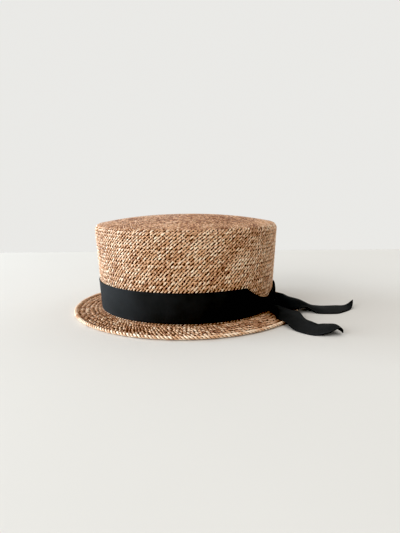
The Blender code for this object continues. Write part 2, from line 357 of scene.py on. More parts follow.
@dataclass(frozen=True)
class RibbonForm:
    """The ribbon's gauge, and how it lies round the crown and is drawn into its knot."""

    hat: HatForm
    width: float = 0.0320
    body: float = 0.0010
    thickness: float = 0.0006
    seat_gap: float = 0.0003
    rib_pitch: float = 0.0013
    rib_height: float = 0.00020
    selvedge: float = 0.0011
    selvedge_height: float = 0.00016
    knot_angle: float = math.radians(-24.0)
    knot_width: float = 0.0240
    knot_height: float = 0.0165
    knot_depth: float = 0.0105
    pinch_drop: float = 0.0165
    pinch_lead: float = math.radians(-2.0)
    pinch_front: float = math.radians(26.0)
    pinch_back: float = math.radians(80.0)
    pinch_front_curve: float = 2.0
    pinch_back_curve: float = 0.5
    stand_off_depth: float = 0.0053
    stand_start: float = math.radians(8.0)
    stand_peak: float = math.radians(14.0)
    stand_end: float = math.radians(34.0)

    @property
    def low(self) -> float:
        """Height of the band's lower edge."""
        return self.hat.bend_height + self.hat.bend_radius

    @property
    def offset(self) -> float:
        """Distance from the wall's middle to the band's inner face."""
        return self.hat.half_wall + self.seat_gap

    def pinch(self, angle: Array) -> Array:
        """Return how far the upper edge is drawn down at an angle, 1 just before the knot."""
        away = wrapped(angle - self.knot_angle) - self.pinch_lead
        front = np.minimum(1.0, np.abs(away) / self.pinch_front) ** self.pinch_front_curve
        back = np.minimum(1.0, np.abs(away) / self.pinch_back) ** self.pinch_back_curve
        return 1 - np.where(away > 0, back, front)

    def stand_off(self, angle: Array) -> Array:
        """Return how far the lower edge stands off the crown on its way to the knot."""
        away = wrapped(angle - self.knot_angle)
        rise = smoothstep((away - self.stand_start) / (self.stand_peak - self.stand_start))
        fall = smoothstep((self.stand_end - away) / (self.stand_end - self.stand_peak))
        return self.stand_off_depth * rise * fall

    def top(self, angle: Array) -> Array:
        """Return the height of the band's upper edge at an angle."""
        return self.low + self.width - self.pinch_drop * self.pinch(angle)

    def knot_frame(self) -> tuple[Vector, Vector, Vector, Vector]:
        """Return the knot's foot on the band, and its directions out, sideways and up."""
        offset = self.offset + self.body + self.seat_gap

        def on_band(height: float, angle: float) -> Vector:
            """Return the point just clear of the band at a height and an angle."""
            x, y = self.hat.oval(self.hat.side_radius(height) + offset, np.float64(angle))
            return Vector((float(x), float(y), height))

        foot = on_band(self.low, self.knot_angle)
        sideways = (on_band(self.low, self.knot_angle + math.radians(1)) - foot).normalized()
        upwards = (on_band(self.low + self.knot_height, self.knot_angle) - foot).normalized()
        return foot, sideways.cross(upwards).normalized(), sideways, upwards

    def support(self, x: Array, y: Array) -> Array:
        """Return the height that cloth lies at, on the brim and past the rim on the floor."""
        hat = self.hat
        radius = hat.plan_radius(x, y)
        run = hat.rim_radius - hat.rim_width - hat.base_radius
        share = np.clip((radius - hat.base_radius) / run, 0, 1)
        rim_half = hat.rim_thickness / 2
        top = rim_half + hat.brim_rise * (1 - share) + hat.half_wall + (rim_half - hat.half_wall) * share
        on_brim = np.maximum(top, hat.rim_thickness) + self.seat_gap
        past = np.clip((radius - hat.rim_radius) / DROP_RUN, 0, 1)
        on_floor = (hat.rim_thickness + self.seat_gap) * (1 - past) ** 2 * (1 + 2 * past)
        return np.where(radius <= hat.rim_radius, on_brim, on_floor)

    def relief(self, along: Array, across: Array) -> Array:
        """Return the height of ribs and selvedges over the ribbon's face.

        Args:
            along: Distance along the ribbon.
            across: Share of the ribbon's width.

        Returns:
            The height, in metres.
        """
        edge = np.minimum(across, 1 - across) * self.width
        inner = smoothstep((edge - self.selvedge) / self.selvedge)
        rib = np.abs(np.cos(math.pi * along / self.rib_pitch)) * self.rib_height
        return rib * (0.35 + 0.65 * inner) + (1 - inner) * self.selvedge_height


DROP_RUN = 0.0200


@dataclass(frozen=True)
class StrawFinish:
    """Plaited straw: a pale tan with brown and cream strands and a satin skin."""

    name: str = "plaited_straw"
    dark: tuple[float, float, float] = (0.25, 0.090, 0.034)
    middle: tuple[float, float, float] = (0.70, 0.417, 0.245)
    pale: tuple[float, float, float] = (0.97, 0.800, 0.620)
    roughness: float = 0.38
    fibre_scale: float = 900.0
    fibre_bump: float = 0.25

    def material(self) -> bpy.types.Material:
        """Build the material, which reads each strand's tone, with its painted light and painted shade, from the
        attribute of that name.
        """
        material = bpy.data.materials.new(self.name)
        material.use_nodes = True
        graph = Graph(material.node_tree)
        tone = graph.node("ShaderNodeAttribute", attribute_name="tone").outputs["Fac"]
        place = graph.node("ShaderNodeTexCoord").outputs["Object"]
        patch = graph.node("ShaderNodeTexNoise", {"Vector": place, "Scale": 38.0, "Detail": 3.0}).outputs["Fac"]
        fleck = graph.node("ShaderNodeTexNoise", {"Vector": place, "Scale": 420.0, "Detail": 2.0}).outputs["Fac"]
        mixed = graph.math("ADD", tone, graph.math("MULTIPLY", graph.math("SUBTRACT", patch, 0.5), 0.55))
        mixed = graph.math("ADD", mixed, graph.math("MULTIPLY", graph.math("SUBTRACT", fleck, 0.5), 0.45))
        ramp = graph.node("ShaderNodeValToRGB", {"Fac": mixed})
        stops = ramp.color_ramp.elements
        stops[0].position, stops[0].color = 0.08, (*self.dark, 1)
        stops[1].position, stops[1].color = 0.90, (*self.pale, 1)
        middle = stops.new(0.48)
        middle.color = (*self.middle, 1)
        fibre = graph.node("ShaderNodeTexNoise", {"Vector": place, "Scale": self.fibre_scale, "Detail": 2.0})
        bump = graph.node("ShaderNodeBump", {"Height": fibre.outputs["Fac"], "Strength": self.fibre_bump,
                                             "Distance": 0.0003})
        rough = graph.math("ADD", graph.math("MULTIPLY", fleck, 0.22), self.roughness - 0.11)
        shader = graph.node("ShaderNodeBsdfPrincipled", {
            "Base Color": ramp.outputs["Color"], "Roughness": rough, "Normal": bump.outputs["Normal"],
            "Specular IOR Level": 0.62, "Sheen Weight": 0.12, "Sheen Roughness": 0.4,
        })
        out = graph.node("ShaderNodeOutputMaterial")
        material.node_tree.links.new(shader.outputs[0], out.inputs["Surface"])
        return material


@dataclass(frozen=True)
class CoreShadeFinish:
    """The inside of the weave, seen through the gaps between strands, painted near black as the shade in those
    gaps.
    """

    name: str = "straw_core"
    # Painted shade: these near-black browns stand for the shadow in the gaps.
    dark: tuple[float, float, float] = (0.030, 0.011, 0.005)
    pale: tuple[float, float, float] = (0.080, 0.034, 0.015)
    roughness: float = 0.8

    def material(self) -> bpy.types.Material:
        """Build the material, a dark brown painted as the shade in the gaps, with slow changes and fine grain."""
        material = bpy.data.materials.new(self.name)
        material.use_nodes = True
        graph = Graph(material.node_tree)
        place = graph.node("ShaderNodeTexCoord").outputs["Object"]
        noise = graph.node("ShaderNodeTexNoise", {"Vector": place, "Scale": 260.0, "Detail": 3.0})
        ramp = graph.node("ShaderNodeValToRGB", {"Fac": noise.outputs["Fac"]})
        stops = ramp.color_ramp.elements
        stops[0].position, stops[0].color = 0.3, (*self.dark, 1)
        stops[1].position, stops[1].color = 0.75, (*self.pale, 1)
        bump = graph.node("ShaderNodeBump", {"Height": noise.outputs["Fac"], "Strength": 0.4, "Distance": 0.0003})
        shader = graph.node("ShaderNodeBsdfPrincipled", {
            "Base Color": ramp.outputs["Color"], "Roughness": self.roughness, "Normal": bump.outputs["Normal"],
            "Specular IOR Level": 0.2,
        })
        out = graph.node("ShaderNodeOutputMaterial")
        material.node_tree.links.new(shader.outputs[0], out.inputs["Surface"])
        return material


@dataclass(frozen=True)
class GrosgrainFinish:
    """Black grosgrain: nearly black, matt between its ribs, with a faint cool sheen."""

    name: str = "black_grosgrain"
    black: tuple[float, float, float] = (0.0320, 0.0325, 0.0325)
    worn: tuple[float, float, float] = (0.0410, 0.0420, 0.0440)
    roughness: float = 0.62
    thread_scale: float = 1400.0

    def material(self) -> bpy.types.Material:
        """Build the material, with blotches of wear and a fine thread bump."""
        material = bpy.data.materials.new(self.name)
        material.use_nodes = True
        graph = Graph(material.node_tree)
        place = graph.node("ShaderNodeTexCoord").outputs["Object"]
        blotch = graph.node("ShaderNodeTexNoise", {"Vector": place, "Scale": 45.0, "Detail": 4.0})
        thread = graph.node("ShaderNodeTexNoise", {"Vector": place, "Scale": self.thread_scale, "Detail": 2.0})
        ramp = graph.node("ShaderNodeValToRGB", {"Fac": blotch.outputs["Fac"]})
        stops = ramp.color_ramp.elements
        stops[0].position, stops[0].color = 0.35, (*self.black, 1)
        stops[1].position, stops[1].color = 0.80, (*self.worn, 1)
        bump = graph.node("ShaderNodeBump", {"Height": thread.outputs["Fac"], "Strength": 0.35,
                                             "Distance": 0.0002})
        rough = graph.math("ADD", graph.math("MULTIPLY", thread.outputs["Fac"], 0.2), self.roughness - 0.1)
        shader = graph.node("ShaderNodeBsdfPrincipled", {
            "Base Color": ramp.outputs["Color"], "Roughness": rough, "Normal": bump.outputs["Normal"],
            "Specular IOR Level": 0.10,
        })
        out = graph.node("ShaderNodeOutputMaterial")
        material.node_tree.links.new(shader.outputs[0], out.inputs["Surface"])
        return material


@dataclass(frozen=True)
class StageFinish:
    """Pale matt tabletop."""

    name: str = "pale_tabletop"
    colour: tuple[float, float, float] = (0.725, 0.70, 0.665)
    roughness: float = 0.75

    def material(self) -> bpy.types.Material:
        """Build the material."""
        material = bpy.data.materials.new(self.name)
        material.use_nodes = True
        graph = Graph(material.node_tree)
        place = graph.node("ShaderNodeTexCoord").outputs["Object"]
        noise = graph.node("ShaderNodeTexNoise", {"Vector": place, "Scale": 6.0, "Detail": 3.0})
        ramp = graph.node("ShaderNodeValToRGB", {"Fac": noise.outputs["Fac"]})
        stops = ramp.color_ramp.elements
        stops[0].position, stops[0].color = 0.2, (*(0.985 * part for part in self.colour), 1)
        stops[1].position, stops[1].color = 0.8, (*self.colour, 1)
        shader = graph.node("ShaderNodeBsdfPrincipled", {
            "Base Color": ramp.outputs["Color"], "Roughness": self.roughness, "Specular IOR Level": 0.25,
        })
        out = graph.node("ShaderNodeOutputMaterial")
        material.node_tree.links.new(shader.outputs[0], out.inputs["Surface"])
        return material


class StrandTree:
    """Geometry Nodes that lay a short strand on every point of a mesh.

    The points carry out and along, the strand's directions, size, its length, width and
    thickness, shade, how light it is, which for woven floats holds painted light and painted shade, and strand,
    the number of the strand that it is part of.
    """

    def __init__(self, name: str, shape: Callable[["StrandTree"], tuple[Any, Any, Any]]) -> None:
        """Build the tree.

        Args:
            name: The tree's name.
            shape: Gives the strand's X, Y and Z from the tree's own round bar.
        """
        self.tree = bpy.data.node_groups.new(name, "GeometryNodeTree")
        self.graph = Graph(self.tree)
        self.sockets: dict[str, str] = {}
        self._socket("Points", "Geometry")
        for socket, kind, value in (
            ("Sides", "Int", 6), ("Segments", "Int", 4), ("Arch", "Float", 1.0), ("End Taper", "Float", 0.50),
            ("Turns", "Float", 0.0), ("Tone Spread", "Float", 0.25), ("Strand Spread", "Float", 0.10),
            ("Width Spread", "Float", 0.12), ("Seed", "Int", 1), ("Material", "Material", None),
        ):
            self._socket(socket, kind, value)
        self.tree.interface.new_socket("Strands", in_out="OUTPUT", socket_type="NodeSocketGeometry")
        self.inputs = self.graph.node("NodeGroupInput").outputs
        self._build(shape)

    def _socket(self, name: str, kind: str, value: Any = None) -> None:
        """Add a named input and remember its identifier."""
        made = self.tree.interface.new_socket(name, in_out="INPUT", socket_type=f"NodeSocket{kind}")
        if value is not None:
            made.default_value = value
        self.sockets[name] = made.identifier

    def _build(self, shape: Callable[["StrandTree"], tuple[Any, Any, Any]]) -> None:
        """Lay out the nodes, from the round bar to the realized strands."""
        graph, inputs = self.graph, self.inputs
        bar = graph.node("GeometryNodeMeshCylinder", {
            "Vertices": inputs["Sides"], "Side Segments": inputs["Segments"], "Radius": 0.5, "Depth": 1.0,
        }, fill_type="NGON")
        place = graph.node("GeometryNodeInputPosition").outputs[0]
        parts = graph.node("ShaderNodeSeparateXYZ", {0: place}).outputs
        self.bar_x, self.bar_y, self.bar_z = parts[0], parts[1], parts[2]
        x, y, z = shape(self)
        moved = graph.node("ShaderNodeCombineXYZ", {0: x, 1: y, 2: z}).outputs[0]
        strand = graph.node("GeometryNodeSetPosition", {"Geometry": bar.outputs["Mesh"], "Position": moved})
        seed = inputs["Seed"]
        by_strand = graph.random(-1.0, 1.0, seed, graph.attribute("strand", "INT"))
        by_float = graph.random(-1.0, 1.0, graph.math("ADD", seed, 7.0))
        # Shade brings painted light and painted shade; random tones by strand and by float go on top.
        tone = graph.math("ADD", graph.attribute("shade"), 0.5)
        tone = graph.math("ADD", tone, graph.product(by_strand, inputs["Strand Spread"]))
        tone = graph.math("ADD", tone, graph.product(by_float, inputs["Tone Spread"]))
        toned = graph.node("GeometryNodeStoreNamedAttribute", {
            "Geometry": inputs["Points"], "Name": "tone", "Value": tone,
        }, data_type="FLOAT", domain="POINT")
        turn = graph.node("FunctionNodeAxesToRotation", {
            "Primary Axis": graph.attribute("out", "FLOAT_VECTOR"),
            "Secondary Axis": graph.attribute("along", "FLOAT_VECTOR"),
        }, primary_axis="Z", secondary_axis="X")
        wider = graph.product(graph.random(-1.0, 1.0, graph.math("ADD", seed, 13.0)), inputs["Width Spread"])
        wider = graph.math("ADD", 1.0, wider)
        by_width = graph.node("ShaderNodeCombineXYZ", {0: 1.0, 1: wider, 2: 1.0}).outputs[0]
        size = graph.node("ShaderNodeVectorMath", {
            0: graph.attribute("size", "FLOAT_VECTOR"), 1: by_width,
        }, operation="MULTIPLY").outputs[0]
        laid = graph.node("GeometryNodeInstanceOnPoints", {
            "Points": toned.outputs["Geometry"], "Instance": strand.outputs["Geometry"],
            "Rotation": turn.outputs[0], "Scale": size,
        })
        real = graph.node("GeometryNodeRealizeInstances", {"Geometry": laid.outputs["Instances"]})
        smooth = graph.node("GeometryNodeSetShadeSmooth", {"Geometry": real.outputs["Geometry"]})
        dressed = graph.node("GeometryNodeSetMaterial", {
            "Geometry": smooth.outputs["Geometry"], "Material": inputs["Material"],
        })
        graph.node("NodeGroupOutput", {"Strands": dressed.outputs["Geometry"]})

    def lay(self, name: str, crossings: "Crossings", **values: Any) -> bpy.types.Object:
        """Lay strands on a set of crossings.

        Args:
            name: The new piece's name.
            crossings: Where the strands go.
            values: What the tree's inputs are set to, with _ for a space in their names.

        Returns:
            The piece, a plain mesh.
        """
        made = add_object(name, crossings.mesh(name))
        modifier = made.modifiers.new("strands", "NODES")
        modifier.node_group = self.tree
        for key, value in values.items():
            modifier[self.sockets[key.replace("_", " ").title()]] = value
        return applied(made)


def float_shape(tree: StrandTree) -> tuple[Any, Any, Any]:
    """Shape the bar as a float, which arches over one strand and dives under the next two."""
    graph, inputs = tree.graph, tree.inputs
    squared = graph.product(tree.bar_z, tree.bar_z, 4.0)
    taper = graph.math("SUBTRACT", 1.0, graph.product(squared, inputs["End Taper"]))
    wave = graph.math("COSINE", graph.product(tree.bar_z, FLOAT_REACH * math.pi))
    lift = graph.product(wave, inputs["Arch"], 0.5)
    height = graph.math("ADD", graph.product(tree.bar_y, taper), lift)
    return tree.bar_z, graph.product(tree.bar_x, taper, -1.0), height


def wrap_shape(tree: StrandTree) -> tuple[Any, Any, Any]:
    """Shape the bar as one turn round the rim's edge that moves on along the rim.

    The unit turn has a radius of one half on both axes. Size's first part is how far it moves
    on, and Turns is the strand's width as a share of that.
    """
    graph, inputs = tree.graph, tree.inputs
    angle = graph.math("ADD", graph.product(tree.bar_z, math.tau), 0.0)
    reach = graph.math("ADD", 0.5, graph.product(tree.bar_y, inputs["Arch"]))
    outward = graph.product(graph.math("COSINE", angle), reach)
    upward = graph.product(graph.math("SINE", angle), reach)
    onward = graph.math("ADD", tree.bar_z, graph.product(tree.bar_x, inputs["Turns"]))
    return onward, outward, upward


FLOAT_REACH = 1.8
RIM_CLEAR = 0.0008


@dataclass
class Crossings:
    """Points that strands are laid on, with the directions and sizes of the strands."""

    place: Array
    out: Array
    along: Array
    size: Array
    strand: Array
    # Tone of each float, which holds painted light and painted shade by relief, facing and zone.
    tone: Array

    @staticmethod
    def joined(parts: Sequence["Crossings"]) -> "Crossings":
        """Put sets of crossings together."""
        return Crossings(*(
            np.concatenate([getattr(part, column.name) for part in parts]) for column in fields(Crossings)
        ))

    def kept(self, mask: Array) -> "Crossings":
        """Return the crossings that a mask keeps."""
        return Crossings(*(getattr(self, column.name)[mask] for column in fields(Crossings)))

    def mesh(self, name: str) -> bpy.types.Mesh:
        """Make a mesh of loose points that carry the directions and sizes."""
        mesh = bpy.data.meshes.new(name)
        mesh.from_pydata(self.place.tolist(), [], [])
        set_attribute(mesh, "out", self.out)
        set_attribute(mesh, "along", self.along)
        set_attribute(mesh, "size", self.size)
        set_attribute(mesh, "strand", self.strand.astype(np.int32))
        set_attribute(mesh, "shade", self.tone)
        return mesh


class LeanRow(NamedTuple):
    """How steeply strands cross the level rings of the hat, in degrees, at a share of a zone."""

    share: float
    lean: float


@dataclass(frozen=True)
class StrandGauge:
    """How a family's floats show: reach in crossings, width in pitches, thickness, tone and lift. Tone is painted
    light on proud floats and painted shade on sunk floats and on level floats that face up.
    """

    reach: float
    fill: float
    thickness: float
    tone: float
    lift: float


# Painted light and shade: proud floats are painted lighter, sunk floats darker, and level floats, which face up,
# darker still.
PROUD = StrandGauge(reach=2.00, fill=0.68, thickness=0.00098, tone=0.07, lift=0.00022)
EVEN = StrandGauge(reach=1.60, fill=0.68, thickness=0.00092, tone=-0.15, lift=0.00008)
SUNK = StrandGauge(reach=1.35, fill=0.52, thickness=0.00076, tone=-0.09, lift=-0.00008)


@dataclass(frozen=True)
class WeaveZone:
    """A ring of the hat that two families of strands cross at an even count."""

    name: str
    start: float
    end: float
    strands: int
    leans: tuple[LeanRow, ...]
    proud: Family = Family.BACKWARD
    even_above: float = 0.75
    unevenness: float = 0.11
    # Painted shade added to every float of the zone; it darkens the tip and the brim.
    tone: float = 0.0

    def rows(self, hat: HatForm) -> tuple[Array, Array]:
        """Return the rings of crossings, and how fast the strands turn at each, in radians a metre."""
        shares = [row.share for row in self.leans]
        leans = [row.lean for row in self.leans]
        runs, turns = [], []
        run = self.start
        while run < self.end:
            share = (run - self.start) / (self.end - self.start)
            lean = math.radians(float(np.interp(share, shares, leans)))
            radius = max(float(hat.radius_at(run)), TINY)
            radius -= hat.oval_shift * min(1.0, radius / hat.base_radius) / 2
            runs.append(run)
            turns.append(1 / (radius * math.tan(lean)))
            run += math.pi * radius * math.tan(lean) / self.strands
        return np.array(runs), np.array(turns)

    def crossings(self, hat: HatForm, face: Face, rng: np.random.Generator) -> Crossings:
        """Work out the strands that show on one face.

        Args:
            hat: The form that they lie on.
            face: Which face.
            rng: For the small unevenness of hand weaving.

        Returns:
            The crossings, one for each float.
        """
        runs, turns = self.rows(hat)
        gaps = np.gradient(runs) if len(runs) > 1 else np.array([self.end - self.start])
        row, column = np.meshgrid(np.arange(len(runs)), np.arange(self.strands), indexing="ij")
        row, column = row.ravel(), column.ravel()
        angle = (2 * column + row) * math.pi / self.strands
        angle = angle + rng.normal(0, self.unevenness, len(angle)) * math.pi / self.strands
        run = runs[row] + rng.normal(0, self.unevenness, len(row)) * gaps[row]
        sign = np.where((row + (face is Face.INNER)) % 2 == 0, 1, -1)
        down, around, out = hat.slopes(run, angle)
        line = down + around * (sign * turns[row])[:, None]
        distance = np.linalg.norm(line, axis=1) * gaps[row]
        along = unit(line)
        spacing = np.linalg.norm(around, axis=1) * math.tau / self.strands
        pitch = spacing * np.linalg.norm(np.cross(unit(around), along), axis=1)
        # From its gauge each float gets painted light if proud, painted shade if sunk or level and facing up.
        kind = np.where(out[:, 2] > self.even_above, 0, np.where(sign == self.proud.value, 1, 2))
        reach, fill, thick, tone, lift = np.array([astuple(gauge) for gauge in (EVEN, PROUD, SUNK)])[kind].T
        size = np.stack([distance * reach, pitch * fill, thick], axis=1)
        strand = np.where(sign > 0, column, self.strands + (column + row) % self.strands)
        out = out * face.value
        place = hat.point(run, angle) + out * lift[:, None]
        # Each float's tone is its gauge's painted light and shade plus the zone's painted shade.
        return Crossings(place, out, along, size, strand, tone + self.tone)


@dataclass
class StrawWeave:
    """The woven straw: floats of two families of strands on both faces, round a core painted dark as the shade
    between them.
    """

    hat: HatForm
    ribbon: RibbonForm
    straw: bpy.types.Material
    core: bpy.types.Material
    pitch: float = 0.00270
    crown_strands: int = 166
    inner_strands: int = 126
    brim_strands: int = 196
    crown_start: float = 0.083
    ring_share: float = 0.82
    ring_width: float = 0.0048
    ring_lean: float = 34.0
    centre: float = 0.0016
    brim_lead: float = 0.0015
    foot_lead: float = 0.0020
    # Painted shade: every float of the tip, which faces up, is painted darker.
    tip_tone: float = -0.08
    # Painted shade: every float of the brim is painted darker, for the shade that falls on it.
    brim_tone: float = -0.13
    hidden_margin: float = 0.0045
    core_thickness: float = 0.00030
    core_around: int = 128
    core_rings: int = 96
    seed: int = 11
    pieces: list[bpy.types.Object] = field(default_factory=list)

    @property
    def brim_start(self) -> float:
        """Distance along the wall's middle to where the brim's own weave starts, past the bend."""
        return self.hat.run_on_brim(self.hat.base_radius + self.hat.bend_radius + self.brim_lead)

    def tip_zones(self) -> list[WeaveZone]:
        """Divide the tip into rings, each with fewer strands than the one outside it."""
        zones = []
        outer = self.crown_start
        while outer > self.centre:
            inner = max(self.centre, min(outer * self.ring_share, outer - self.ring_width))
            inner = self.centre if inner < 2 * self.centre else inner
            count = math.tau * outer * 0.93 * math.sin(math.radians(self.ring_lean)) / self.pitch
            strands = max(8, 2 * round(count / 2))
            inner_lean = math.degrees(math.asin(min(0.94, math.sin(math.radians(self.ring_lean)) * outer / inner)))
            leans = (LeanRow(0.0, inner_lean), LeanRow(1.0, self.ring_lean))
            # The zone's tone carries the tip's painted shade.
            zones.append(WeaveZone(f"tip_{len(zones)}", inner, outer, strands, leans, unevenness=0.16,
                                   tone=self.tip_tone))
            outer = inner if inner > self.centre else 0.0
        return zones

    def crown_zone(self) -> WeaveZone:
        """Describe the weave from the tip's outer ring over the shoulder to behind the band."""
        hat = self.hat
        end = self.brim_start
        shoulder = hat.run_at_height(hat.shoulder_height)
        band = hat.run_at_height(self.ribbon.low + self.ribbon.width)

        def share(run: float) -> float:
            """Return a distance as a share of the zone."""
            return (run - self.crown_start) / (end - self.crown_start)

        foot = hat.run_at_height(self.ribbon.low + self.foot_lead)
        leans = (LeanRow(0.0, 47.0), LeanRow(share(shoulder), 40.0),
                 LeanRow(share(band), 53.0), LeanRow(share(foot), 24.0), LeanRow(1.0, 30.0))
        return WeaveZone("crown", self.crown_start, end, self.crown_strands, leans)

    def brim_zone(self) -> WeaveZone:
        """Describe the weave from the crown's foot to the rim, where strands run nearly outwards."""
        leans = (LeanRow(0.0, 54.0), LeanRow(0.5, 58.0), LeanRow(1.0, 52.0))
        # The zone's tone carries the brim's painted shade.
        return WeaveZone("brim", self.brim_start, self.hat.length, self.brim_strands, leans,
                         Family.FORWARD, even_above=1.0, unevenness=0.22, tone=self.brim_tone)

    def behind_band(self, crossings: Crossings) -> Array:
        """Return which crossings the ribbon hides."""
        x, y, z = crossings.place.T
        angle = np.arctan2(y / (1 - 2 * self.hat.oval_shift / self.hat.head_length), x)
        clear = self.ribbon.stand_off(angle) > 0.0003
        below_top = z < self.ribbon.top(angle) - self.hidden_margin
        above_low = z > self.ribbon.low + self.hidden_margin / 2
        return below_top & above_low & ~clear

    def build(self) -> list[bpy.types.Object]:
        """Make every piece of the straw and return them."""
        rng = np.random.default_rng(self.seed)
        tree = StrandTree("woven_float", float_shape)
        shared = {"seed": self.seed, "material": self.straw}
        fine = {"sides": 5, "segments": 3, **shared}
        plain = {"sides": 4, "segments": 2, **shared}
        tips, crown, brim = self.tip_zones(), self.crown_zone(), self.brim_zone()

        tip_outer = Crossings.joined([zone.crossings(self.hat, Face.OUTER, rng) for zone in tips])
        crown_outer = crown.crossings(self.hat, Face.OUTER, rng)
        crown_outer = crown_outer.kept(~self.behind_band(crown_outer))
        level = crown_outer.place[:, 2] > self.hat.shoulder_height
        self.pieces.append(tree.lay("straw_tip", Crossings.joined([tip_outer, crown_outer.kept(level)]), **fine))
        upper = crown_outer.place[:, 2] > (self.hat.shoulder_height + self.ribbon.low + self.ribbon.width) / 2
        self.pieces.append(tree.lay("straw_crown_upper", crown_outer.kept(~level & upper), **fine))
        self.pieces.append(tree.lay("straw_crown_lower", crown_outer.kept(~level & ~upper), **fine))
        self.pieces.append(tree.lay("straw_brim_top", brim.crossings(self.hat, Face.OUTER, rng), **fine))

        tip_inner = Crossings.joined([zone.crossings(self.hat, Face.INNER, rng) for zone in tips])
        crown_inner = replace(crown, strands=self.inner_strands).crossings(self.hat, Face.INNER, rng)
        self.pieces.append(tree.lay("straw_tip_inside", tip_inner, **plain))
        self.pieces.append(tree.lay("straw_crown_inside", crown_inner, **plain))
        self.pieces.append(tree.lay("straw_brim_under", brim.crossings(self.hat, Face.INNER, rng), **plain))
        self.pieces.append(self.build_rim())
        self.pieces.append(self.build_core())
        return self.pieces

    def build_core(self) -> bpy.types.Object:
        """Make the thin wall that closes the gaps between the strands, painted dark as their shade."""
        line = self.hat.middle_line
        runs = np.linspace(0.0, line[-1, 0], self.core_rings + 1)[1:]
        angles = np.arange(self.core_around) * math.tau / self.core_around
        run, angle = np.meshgrid(runs, angles, indexing="ij")
        made = add_object("straw_core", grid_mesh("straw_core", self.hat.point(run, angle), closed_across=True))
        cap = bmesh.new()
        cap.from_mesh(made.data)
        top = cap.verts.new(self.hat.point(np.float64(0.0), np.float64(0.0)))
        cap.verts.ensure_lookup_table()
        for index in range(self.core_around):
            cap.faces.new((top, cap.verts[index], cap.verts[(index + 1) % self.core_around]))
        cap.to_mesh(made.data)
        cap.free()
        made.data.shade_smooth()
        made.data.materials.append(self.core)
        wall = made.modifiers.new("wall", "SOLIDIFY")
        wall.thickness = self.core_thickness
        wall.offset = 0.0
        return applied(made)

    def build_rim(self) -> bpy.types.Object:
        """Wind strands round the brim's outer edge, as its weaver finishes it."""
        hat = self.hat
        turns = 214
        angle = (np.arange(turns) + 0.5) * math.tau / turns
        width, height = hat.rim_width * 0.75, hat.rim_thickness * 0.88
        radius = hat.rim_radius - width / 2
        step = 1e-4
        x, y = hat.oval(np.full(turns, radius), angle)
        ahead = np.stack([*hat.oval(np.full(turns, radius), angle + step), np.zeros(turns)], axis=1)
        behind = np.stack([*hat.oval(np.full(turns, radius), angle - step), np.zeros(turns)], axis=1)
        along = unit(ahead - behind)
        place = np.stack([x, y, np.full(turns, height / 2 + RIM_CLEAR)], axis=1)
        spacing = np.linalg.norm(ahead - behind, axis=1) / (2 * step) * math.tau / turns
        out = np.tile(np.array([0.0, 0.0, 1.0]), (turns, 1))
        size = np.stack([spacing * 2, np.full(turns, width), np.full(turns, height)], axis=1)
        crossings = Crossings(place, out, along, size, np.arange(turns), np.full(turns, 0.16))
        tree = StrandTree("rim_turn", wrap_shape)
        return tree.lay("straw_rim", crossings, sides=5, segments=12, arch=0.30, turns=0.42, tone_spread=0.22,
                        width_spread=0.0, seed=self.seed, material=self.straw)

    def dress(self) -> None:
        """Tell the frame what the pieces ride on and stand for."""
        for piece in self.pieces:
            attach(piece, ROOT)
            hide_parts("straw_body")


class TailRow(NamedTuple):
    """One section across a tail.

    along and aside place its middle, as shares of the tail's length and of the ribbon's width.
    spread is its width on plan and near, ridge and far are its heights over what it lies on,
    all as shares of the ribbon's width. turn is its angle on plan in degrees.
    """

    along: float
    aside: float
    spread: float
    turn: float
    near: float
    ridge: float
    far: float


REAR_TAIL = (
    TailRow(along=-0.10, aside=-0.02, spread=0.34, turn=-29, near=0.22, ridge=0.60, far=0.42),
    TailRow(along=0.00, aside=-0.03, spread=0.40, turn=-29, near=0.20, ridge=0.55, far=0.36),
    TailRow(along=0.09, aside=0.03, spread=0.60, turn=-15, near=0.06, ridge=0.45, far=0.22),
    TailRow(along=0.21, aside=0.17, spread=0.67, turn=-8, near=0.03, ridge=0.34, far=0.13),
    TailRow(along=0.36, aside=0.38, spread=0.70, turn=-4, near=0.10, ridge=0.20, far=0.03),
    TailRow(along=0.50, aside=0.33, spread=0.96, turn=-6, near=0.00, ridge=0.11, far=0.02),
    TailRow(along=0.62, aside=0.31, spread=0.99, turn=-4, near=0.00, ridge=0.04, far=0.00),
    TailRow(along=0.76, aside=0.31, spread=0.99, turn=-12, near=0.00, ridge=0.02, far=0.01),
    TailRow(along=0.86, aside=0.32, spread=0.96, turn=-27, near=0.00, ridge=0.01, far=0.04),
    TailRow(along=0.93, aside=0.34, spread=0.92, turn=-40, near=0.00, ridge=0.02, far=0.25),
)

